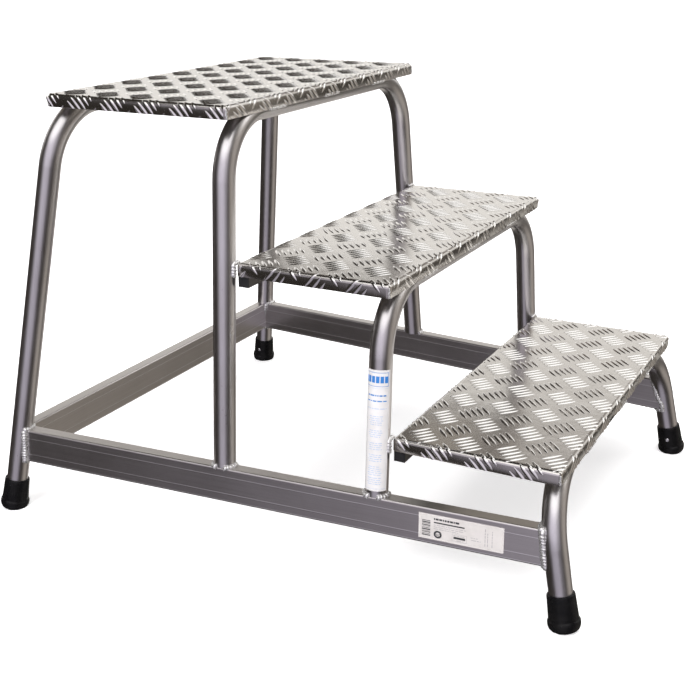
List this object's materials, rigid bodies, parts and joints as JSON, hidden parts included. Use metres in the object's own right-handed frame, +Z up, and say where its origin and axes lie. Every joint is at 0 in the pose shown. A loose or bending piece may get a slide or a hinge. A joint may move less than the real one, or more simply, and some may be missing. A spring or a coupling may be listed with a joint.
{
  "type": "mounting block",
  "caption": "Free-standing mounting block with checker-plate steps on bent round tube legs, tied by rectangular floor rails and standing on rubber foot caps.",
  "frame": {"origin": "on the floor, in the middle of the four feet's box", "axes": "+Z up, +Y the way a person climbs (from the lowest step towards the highest), +X to the climber's right"},
  "size_m": [0.743, 0.8632, 0.6],
  "materials": {
    "checker_plate": "five-bar checker plate, bright rolled bars on a dull ground",
    "round_tube": "satin drawn tube, fine lines along its length",
    "rail_tube": "mill finish extrusion, fine lines along its length",
    "bar_tube": "mill finish extrusion, dull",
    "weld_bead": "bright rippled weld metal",
    "foot_rubber": "semi-gloss moulded black rubber",
    "plated_steel": "bright zinc plate",
    "plug_plastic": "moulded black plastic",
    "label_film": "printed white polyester film"
  },
  "bodies": {
    "root": {"bar_end_plugs": "plug_plastic", "bottom_tread": "checker_plate", "bottom_tread_bar": "bar_tube", "bottom_tread_welds": "weld_bead", "foot_discs": "plated_steel", "foot_rivets": "plated_steel", "front_left_foot_cap": "foot_rubber", "front_left_rail_weld": "weld_bead", "front_leg_frame": "round_tube", "front_right_foot_cap": "foot_rubber", "front_right_rail_weld": "weld_bead", "identification_label": "label_film", "instruction_label": "label_film", "left_side_rail": "rail_tube", "middle_leg_base_welds": "weld_bead", "middle_leg_frame": "round_tube", "middle_tread": "checker_plate", "middle_tread_bar": "bar_tube", "middle_tread_welds": "weld_bead", "rear_cross_rail": "rail_tube", "rear_left_foot_cap": "foot_rubber", "rear_left_rail_weld": "weld_bead", "rear_leg_frame": "round_tube", "rear_right_foot_cap": "foot_rubber", "rear_right_rail_weld": "weld_bead", "right_side_rail": "rail_tube", "top_tread": "checker_plate", "top_tread_welds": "weld_bead", "upper_leg_base_welds": "weld_bead", "upper_leg_frame": "round_tube"}
  },
  "joints": []
}
